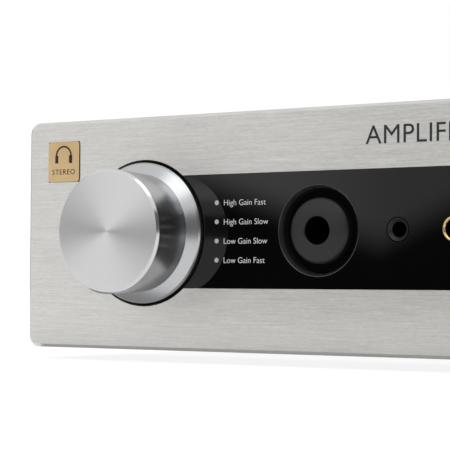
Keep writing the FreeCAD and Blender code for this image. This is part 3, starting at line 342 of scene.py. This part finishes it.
def put(name, mesh, body, origin=(0, 0, 0), replaced=()):
    """One finished piece in the scene, riding on its body."""
    piece = bpy.data.objects.new(name, mesh)
    bpy.context.scene.collection.objects.link(piece)
    piece.location = origin
    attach(piece, body)
    if replaced:
        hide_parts(*replaced)
    return piece


def eased(points, radius, steps=4):
    """The outline with its inner corners rounded: a list of (point, number of the stretch after it)."""
    places = [Vector(point) for point in points]
    eased_points = [(places[0], 0)]
    for index in range(1, len(places) - 1):
        before, corner, after = places[index - 1], places[index], places[index + 1]
        to_before, to_after = before - corner, after - corner
        reach = min(radius, 0.4 * to_before.length, 0.4 * to_after.length)
        start = corner + to_before.normalized() * reach
        end = corner + to_after.normalized() * reach
        for step in range(steps + 1):
            share = step / steps
            point = start * (1 - share) ** 2 + corner * 2 * share * (1 - share) + end * share ** 2
            eased_points.append((point, index - 1 if step == 0 else index))
    eased_points.append((places[-1], len(places) - 2))
    return eased_points


def lathe(name, outline, body, origin, finishes, picks=None, radius=0.12, replaced=()):
    """A turned piece: the outline in mm, as (radius, depth behind the origin), spun about Y.

    picks gives each stretch of the outline its place in the list of finishes."""
    rows = eased(outline, radius)
    mesh = bpy.data.meshes.new(name)
    shape = bmesh.new()
    rings = []
    for point, _ in rows:
        reach, depth = point.x * MM, point.y * MM
        if reach < 0.0001 * MM:
            rings.append([shape.verts.new((0, depth, 0))])
            continue
        rings.append([shape.verts.new((reach * math.cos(math.tau * turn / SEGMENTS), depth,
                                       reach * math.sin(math.tau * turn / SEGMENTS)))
                      for turn in range(SEGMENTS)])
    for (_, stretch), one, two in zip(rows, rings, rings[1:]):
        for turn in range(SEGMENTS):
            after = (turn + 1) % SEGMENTS
            corners = [one[turn % len(one)], one[after % len(one)],
                       two[after % len(two)], two[turn % len(two)]]
            face = shape.faces.new(list(dict.fromkeys(corners)))
            face.smooth = True
            face.material_index = picks[stretch] if picks else 0
    bmesh.ops.recalc_face_normals(shape, faces=shape.faces)
    shape.to_mesh(mesh)
    shape.free()
    for finish in finishes:
        mesh.materials.append(finish)
    piece = put(name, mesh, body, origin, replaced)
    weighted = piece.modifiers.new("even_normals", "WEIGHTED_NORMAL")
    weighted.weight = 80
    weighted.keep_sharp = False
    return piece


def make_knobs():
    """Face, chamfer, side, conical skirt and hollow back, turned in one piece, with a screw's hole."""
    face, chamfer, side, skirt = range(4)
    outline = [(0, -15.2), (14.6, -15.2), (15.15, -14.55), (14.6, -2.7), (17.15, -1.18), (17.5, -0.7),
               (17.55, 0.4), (17.45, 3.0), (9.0, 3.0), (9.0, -1.5), (3.02, -1.5), (3.02, -12.5), (0, -12.5)]
    picks = [face, chamfer, side] + 4 * [skirt] + 5 * [side]
    finishes = [FINISHES["knob_aluminium"], KNOB_EDGE, KNOB_SIDE, KNOB_SKIRT]
    for name, body in (("volume_knob", "volume_control"), ("selector_knob", "selector_control")):
        place = centre(name)
        knob = lathe(name + "_turned", outline, body, (place.x, PLATE_FACE, place.z),
                     finishes, picks, 0.10, (name,))
        drill_side(knob, ahead=7.0, radius=1.55)


def drill_side(piece, ahead, radius):
    """A round hole from the -X side to the piece's axis, in mm, ahead of its origin."""
    length, middle = 16, 11
    mesh = bpy.data.meshes.new("drill")
    shape = bmesh.new()
    bmesh.ops.create_cone(shape, cap_ends=True, segments=48, radius1=radius * MM, radius2=radius * MM,
                          depth=length * MM)
    turned_across = Matrix.Rotation(math.pi / 2, 4, "Y")
    shape.transform(Matrix.Translation((-middle * MM, -ahead * MM, 0)) @ turned_across)
    shape.to_mesh(mesh)
    shape.free()
    drill = bpy.data.objects.new("drill", mesh)
    bpy.context.scene.collection.objects.link(drill)
    drill.location = piece.location
    hole = piece.modifiers.new("hole", "BOOLEAN")
    hole.operation = "DIFFERENCE"
    hole.solver = "EXACT"
    hole.object = drill
    bpy.context.view_layer.objects.active = piece
    bpy.ops.object.modifier_move_to_index(modifier="hole", index=0)
    bpy.ops.object.modifier_apply(modifier="hole")
    bpy.data.objects.remove(drill)


def make_big_jack():
    """A thin rim, flush with the plate, round a well with a domed nut in it. The well's floor and the nut's
    back and bore take painted shade in deepest black; the rim's crest takes a lighter black as a painted
    highlight, and its slope a lighter black as painted light.
    """
    place = centre("big_jack_rim")
    origin = (place.x, PLATE_FACE, place.z)
    # Stretch finishes: for the rim, main is the crest's painted highlight, the second is painted shade in
    # deepest black, slope is painted light on the slope and wall is the nut's plastic; for the nut, main is
    # its own plastic.
    main, shaded, slope, wall = range(4)
    lathe("jack_rim_moulded",
          [(5.95, 3.4), (10.1, 3.4), (10.1, 1.3), (10.6, 0.2), (10.72, 0.1), (10.85, 0.16), (10.85, 5.0),
           (5.95, 5.0)],
          "case", origin, [RIM_PAINTED_HIGHLIGHT, PAINTED_SHADE_BLACK, RIM_PAINTED_LIGHT, FINISHES["nut_plastic"]],
          [shaded, wall, slope] + 3 * [main] + [shaded], 0.06, ("big_jack_rim",))
    lathe("jack_nut_moulded",
          [(3.25, 3.4), (7.8, 3.4), (7.8, 0.9), (7.3, 0.4), (5.4, -0.2), (4.05, -0.5), (3.55, -0.5),
           (3.25, -0.2), (3.25, 3.4)],
          "case", origin, [FINISHES["nut_plastic"], PAINTED_SHADE_BLACK],
          [shaded] + 6 * [main] + [shaded], 0.2, ("big_jack_nut",))


def paint_shade_in_bore(name, radius):
    """The inside of a round bore along Y, out to a radius in mm, gets the deepest black: painted shade for
    the dark inside of the bore.
    """
    piece = nodes[name]
    middle = piece.matrix_world.inverted() @ centre(name)
    piece.data.materials.append(PAINTED_SHADE_BLACK)
    for face in piece.data.polygons:
        corners = [piece.data.vertices[index].co for index in face.vertices]
        if all(math.hypot(corner.x - middle.x, corner.z - middle.z) < radius * MM for corner in corners):
            face.material_index = 1


def make_balanced_ring():
    """The gold ring of the 4.4 mm socket, with a crested face."""
    place = centre("balanced_jack_ring")
    lathe("gold_ring_turned",
          [(2.25, 2.6), (2.25, 0.0), (2.5, -0.35), (2.76, -0.35), (3.02, 0.0), (3.02, 2.6), (2.25, 2.6)],
          "case", (place.x, PLATE_FACE, place.z), [FINISHES["gold_contact"]], None, 0.1,
          ("balanced_jack_ring",))


CAP_SHARE = 0.7         # a capital's height in the lettering's size


def write_word(name, words, finish, place, cap, align="LEFT", spacing=1.0, thinner=0.0, turn=0.0):
    """Lettering drawn flat and a hair thick, from its place or about it; turn faces it to the rear."""
    curve = bpy.data.curves.new(name, "FONT")
    curve.body = words
    curve.size = cap / CAP_SHARE
    curve.space_character = spacing
    curve.align_x = align
    curve.align_y = "BOTTOM_BASELINE"
    curve.extrude = 0.02 * MM
    curve.offset = -thinner
    curve.materials.append(finish)
    piece = bpy.data.objects.new(name, curve)
    bpy.context.scene.collection.objects.link(piece)
    piece.location = place
    piece.rotation_euler = (math.radians(90), 0, math.radians(turn))
    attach(piece, "case")


# The words beside the lights, from the lowest up.
LEFT_WORDS = ["Low Gain Fast", "Low Gain Slow", "High Gain Slow", "High Gain Fast"]
RIGHT_WORDS = ["Line 2", "Line 1", "USB C", "USB B"]
LEGEND_LOW, LEGEND_PITCH = 25.19 * MM, 4.63 * MM    # the lowest light, and the step to the next
LEGEND_OUT = 53.5 * MM                              # from the middle to where the legends start
WORD_BASE = 51.6 * MM                               # foot of the plate's word
LEGEND_CAP, WORD_CAP, BADGE_CAP, REAR_CAP, VOLTS_CAP = 1.42 * MM, 4.33 * MM, 1.35 * MM, 2.0 * MM, 1.7 * MM
REAR_WORDS = {
    "power_switch_frame": "POWER", "usb_c_socket": "USB C", "usb_b_socket": "USB B", "phono_in_left": "IN",
    "phono_out_left": "OUT", "left_line_socket": "L", "right_line_socket": "R",
}


def make_lettering():
    """Plain words for what each light, knob and socket does."""
    ahead = WINDOW_FACE - INK_PROUD
    for index, (left, right) in enumerate(zip(LEFT_WORDS, RIGHT_WORDS)):
        low = LEGEND_LOW + index * LEGEND_PITCH - LEGEND_CAP / 2
        write_word(f"legend_{index}", left, WHITE_INK,
                   (-LEGEND_OUT, ahead, low), LEGEND_CAP, thinner=0.02 * MM)
        write_word(f"source_{index}", right, WHITE_INK,
                   (LEGEND_OUT, ahead, low), LEGEND_CAP, "RIGHT", thinner=0.02 * MM)
    write_word("plate_word", "AMPLIFIER", DARK_INK,
               (0.0, PLATE_FACE - INK_PROUD, WORD_BASE), WORD_CAP, "CENTER", 1.05)
    badge_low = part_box("badge")[0]
    middle = centre("badge").x
    ahead = badge_low.y - INK_PROUD
    write_word("badge_word", "STEREO", ENGRAVED,
               (middle, ahead, badge_low.z + 1.9 * MM), BADGE_CAP, "CENTER", 1.15)
    make_headphones(middle, badge_low.z + 6.7 * MM, ahead)


def make_rear_lettering():
    """Printed words over the rear sockets and the switches."""
    behind = REAR_FACE + INK_PROUD
    for node, word in REAR_WORDS.items():
        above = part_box(node)[1].z + 1.3 * MM
        write_word("rear_" + node, word, DARK_INK, (centre(node).x, behind, above),
                   REAR_CAP, "CENTER", 1.05, turn=180)
    between = (centre("phono_in_left").x + centre("phono_out_left").x) / 2
    for node, word in (("phono_in_left", "L"), ("phono_in_right", "R")):
        write_word("side_" + node, word, DARK_INK,
                   (between, behind, centre(node).z - REAR_CAP / 2), REAR_CAP, "CENTER", turn=180)
    selector = centre("voltage_selector_frame")
    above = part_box("voltage_selector_frame")[1].z + 1.0 * MM
    for side, word in ((1, "115 V"), (-1, "230 V")):
        write_word(f"volts_{word[:3]}", word, DARK_INK,
                   (selector.x + side * 4.6 * MM, behind, above), VOLTS_CAP, "CENTER", turn=180)


def make_headphones(x, z, depth):
    """A plain headphone sign, a hair thick: a headband and two ear cushions."""
    mesh = bpy.data.meshes.new("badge_sign")
    shape = bmesh.new()

    def strip(inner, outer):
        low = [shape.verts.new((px * MM, 0, pz * MM)) for px, pz in inner]
        high = [shape.verts.new((px * MM, 0, pz * MM)) for px, pz in outer]
        for index in range(len(low) - 1):
            shape.faces.new((low[index], low[index + 1], high[index + 1], high[index]))

    def arc(radius, turns=24):
        return [(radius * math.cos(math.pi * step / turns), radius * math.sin(math.pi * step / turns))
                for step in range(turns + 1)]

    strip(arc(2.15), arc(2.6))
    for side in (-1, 1):
        strip([(side * 1.75, -1.9), (side * 1.75, 0.1)], [(side * 2.75, -1.9), (side * 2.75, 0.1)])
    shape.to_mesh(mesh)
    shape.free()
    mesh.materials.append(ENGRAVED)
    sign = put("badge_sign", mesh, "case", (x, depth, z))
    sign.modifiers.new("thickness", "SOLIDIFY").thickness = 0.03 * MM


make_knobs()
make_big_jack()
# Painted shade: the insides of the sockets' bores are coloured deepest black.
paint_shade_in_bore("mini_jack_body", 1.9)
paint_shade_in_bore("big_jack_body", 3.4)
paint_shade_in_bore("balanced_jack_body", 2.4)
make_balanced_ring()
make_lettering()
make_rear_lettering()


# ---- Stage, light and camera ----------------------------------------------------------------


def make_stage():
    """A white table lit from within, so that it carries only a faint shadow."""
    bpy.ops.mesh.primitive_plane_add(size=8.0)
    floor = bpy.context.object
    floor.name = "floor"
    paper = Finish("floor_paper", (0.17, 0.17, 0.17), roughness=0.9)
    paper.feed("Base Color", paper.tint(paper.grain(5.0), (0.16, 0.16, 0.16), (0.18, 0.18, 0.18)))
    paper.shader.inputs["Emission Color"].default_value = (1, 1, 1, 1)
    paper.shader.inputs["Emission Strength"].default_value = 0.88
    floor.data.materials.append(paper.material)


def make_world():
    """A white light tent."""
    world = bpy.data.worlds.new("tent")
    bpy.context.scene.world = world
    world.use_nodes = True
    background = world.node_tree.nodes["Background"]
    background.inputs["Color"].default_value = (1.0, 1.0, 1.0, 1.0)
    background.inputs["Strength"].default_value = 1.0


def screen_cloth(name, strength, fading=None):
    """An even glow; where a layer's first coordinate falls from 1 to 0, it fades to clear."""
    material = bpy.data.materials.new(name)
    material.use_nodes = True
    tree = material.node_tree
    tree.nodes.clear()
    glow = tree.nodes.new("ShaderNodeEmission")
    glow.inputs["Color"].default_value = (1, 1, 1, 1)
    glow.inputs["Strength"].default_value = strength
    output = tree.nodes.new("ShaderNodeOutputMaterial")
    if not fading:
        tree.links.new(glow.outputs["Emission"], output.inputs["Surface"])
        return material
    clear = tree.nodes.new("ShaderNodeBsdfTransparent")
    mix = tree.nodes.new("ShaderNodeMixShader")
    where = tree.nodes.new("ShaderNodeUVMap")
    where.uv_map = fading
    split = tree.nodes.new("ShaderNodeSeparateXYZ")
    soft = tree.nodes.new("ShaderNodeMapRange")
    soft.interpolation_type = "SMOOTHSTEP"
    tree.links.new(where.outputs["UV"], split.inputs["Vector"])
    tree.links.new(split.outputs["X"], soft.inputs["Value"])
    tree.links.new(soft.outputs["Result"], mix.inputs["Fac"])
    tree.links.new(clear.outputs["BSDF"], mix.inputs[1])
    tree.links.new(glow.outputs["Emission"], mix.inputs[2])
    tree.links.new(mix.outputs["Shader"], output.inputs["Surface"])
    return material


FLAG_LEVEL = AXIS_Z - 12.7 * MM     # the height that the flags' rises are measured from
FLAG_LOWEST = -6.0                  # degrees
FLAG_STEPS = 120


def make_flag(name, tops, strength, fade=0.5, side_fade=6.0, reach=1.5):
    """A dim screen bent round the object, unseen by the camera, with soft top and side edges.

    tops lists the top edge as (degrees to the right of straight ahead, rise in degrees)."""
    mesh = bpy.data.meshes.new(name)
    shape = bmesh.new()
    fading = shape.loops.layers.uv.new("fade")
    start, end = tops[0][0], tops[-1][0]
    columns = []
    for step in range(FLAG_STEPS + 1):
        angle = start + (end - start) * step / FLAG_STEPS
        azimuth = math.radians(angle)
        left = next(index for index in range(len(tops) - 1) if angle <= tops[index + 1][0] + 1e-6)
        blend = (angle - tops[left][0]) / (tops[left + 1][0] - tops[left][0])
        top = tops[left][1] * (1 - blend) + tops[left + 1][1] * blend
        side = min(1.0, (angle - start) / side_fade, (end - angle) / side_fade)
        column = []
        for rise, cover in ((FLAG_LOWEST, 1.0), (top - fade, 1.0), (top + fade, 0.0)):
            height = FLAG_LEVEL + reach * math.tan(math.radians(rise))
            place = (reach * math.sin(azimuth), -reach * math.cos(azimuth), max(height, 1.0 * MM))
            column.append((shape.verts.new(place), cover * side))
        columns.append(column)
    for one, two in zip(columns, columns[1:]):
        for row in range(2):
            corners = [one[row], two[row], two[row + 1], one[row + 1]]
            face = shape.faces.new([corner[0] for corner in corners])
            for loop, corner in zip(face.loops, corners):
                loop[fading].uv = (corner[1], 0.0)
    shape.to_mesh(mesh)
    shape.free()
    mesh.materials.append(screen_cloth(name, strength, "fade"))
    flag = bpy.data.objects.new(name, mesh)
    bpy.context.scene.collection.objects.link(flag)
    flag.visible_camera = False


CARD_HEIGHT = 0.6 * MM


def make_reflection_sheet(name, corners, strength):
    """A glowing sheet lying flat on the table, with its corners in mm, seen only in reflections, where it
    paints the table darker; near the case this is painted shadow.
    """
    mesh = bpy.data.meshes.new(name)
    mesh.from_pydata([(x * MM, y * MM, CARD_HEIGHT) for x, y in corners], [], [range(len(corners))])
    mesh.materials.append(screen_cloth(name, strength))
    card = bpy.data.objects.new(name, mesh)
    bpy.context.scene.collection.objects.link(card)
    card.visible_camera = False
    card.visible_diffuse = False
    card.visible_shadow = False


def softbox(name, azimuth, rise, width, height, strength, reach=1.4):
    """A soft panel so many degrees to the right of straight ahead and above the table."""
    around, up = math.radians(azimuth), math.radians(rise)
    direction = Vector((math.sin(around) * math.cos(up), -math.cos(around) * math.cos(up), math.sin(up)))
    light = bpy.data.lights.new(name, "AREA")
    light.shape = "ELLIPSE"
    light.size = width
    light.size_y = height
    light.energy = strength * math.pi * math.pi * width * height / 4
    lamp = bpy.data.objects.new(name, light)
    bpy.context.scene.collection.objects.link(lamp)
    lamp.location = direction * reach
    lamp.rotation_euler = (-direction).to_track_quat("-Z", "Y").to_euler()
    lamp.visible_camera = False


def make_camera():
    """A long lens from the right, level with the lower third of the plate's height."""
    yaw, pitch, roll = math.radians(33.09), math.radians(2.03), math.radians(0.33)
    forward = Vector((-math.sin(yaw) * math.cos(pitch), math.cos(yaw) * math.cos(pitch), math.sin(pitch)))
    level = Vector((math.cos(yaw), math.sin(yaw), 0.0))
    above = level.cross(forward)
    right = math.cos(roll) * level + math.sin(roll) * above
    up = math.cos(roll) * above - math.sin(roll) * level
    data = bpy.data.cameras.new("camera")
    data.sensor_width = 36.0
    data.lens = 134.9
    data.clip_start = 0.01
    camera = bpy.data.objects.new("camera", data)
    bpy.context.scene.collection.objects.link(camera)
    camera.matrix_world = Matrix((
        (right.x, up.x, -forward.x, 0.0),
        (right.y, up.y, -forward.y, 0.0),
        (right.z, up.z, -forward.z, 0.0),
        (0.0, 0.0, 0.0, 1.0),
    ))
    camera.location = PLATE_LOW + Vector((282.8, -340.2, 16.26)) * MM
    bpy.context.scene.camera = camera


make_stage()
make_world()
make_flag("flag_left", [(-37.5, 4.9), (-33.6, 4.2), (-26.43, 1.75), (-23.67, 3.25), (-20, 4.5), (-4, 4.9)],
          0.02, 1.0, 2.0)
make_flag("flag_far_left", [(-85, 20), (-60, 22), (-50, 18), (-44, 8)], 0.45, 2.0)
make_flag("flag_right_window", [(-31, 9), (-4, 9)], 0.62, 1.0, reach=1.6)
# Painted shadow of the case on the table, seen only in reflections: under the case and along its front.
make_reflection_sheet("painted_shadow_under", [(-112, -60), (112, -60), (112, -96), (-112, -96)], 0.03)
make_reflection_sheet("painted_shadow_edge", [(-112, -96), (112, -96), (112, -101), (-112, -101)], 0.50)
make_reflection_sheet("painted_shadow_left", [(-112, -101), (-45, -101), (-50, -111), (-130, -111)], 0.30)
make_reflection_sheet("painted_shadow_right", [(-45, -101), (60, -101), (80, -111), (-50, -111)], 0.03)
# A darker stretch of table far in front, seen only in reflections: a painted reflection.
make_reflection_sheet("card_far", [(-330, -500), (400, -500), (1200, -1480), (-900, -1480)], 0.03)
make_flag("flag_camera", [(-2, 4), (4, 12), (22, 20), (40, 24), (50, 30), (75, 32), (90, 30)],
          0.14, 3.0, 12.0)
make_flag("flag_right", [(75, 30), (100, 45), (185, 45)], 0.05, 4.0, reach=1.7)
make_flag("flag_back_left", [(-140, 14), (-100, 14)], 0.15, 3.0)
softbox("front_box", 2.0, 44.0, 0.85, 0.5, 1.2)
softbox("left_box", -21.0, 31.0, 1.2, 0.35, 0.3)
softbox("high_box", 46.0, 68.0, 1.0, 0.75, 1.1)
make_camera()
bpy.context.scene.view_settings.view_transform = "Standard"
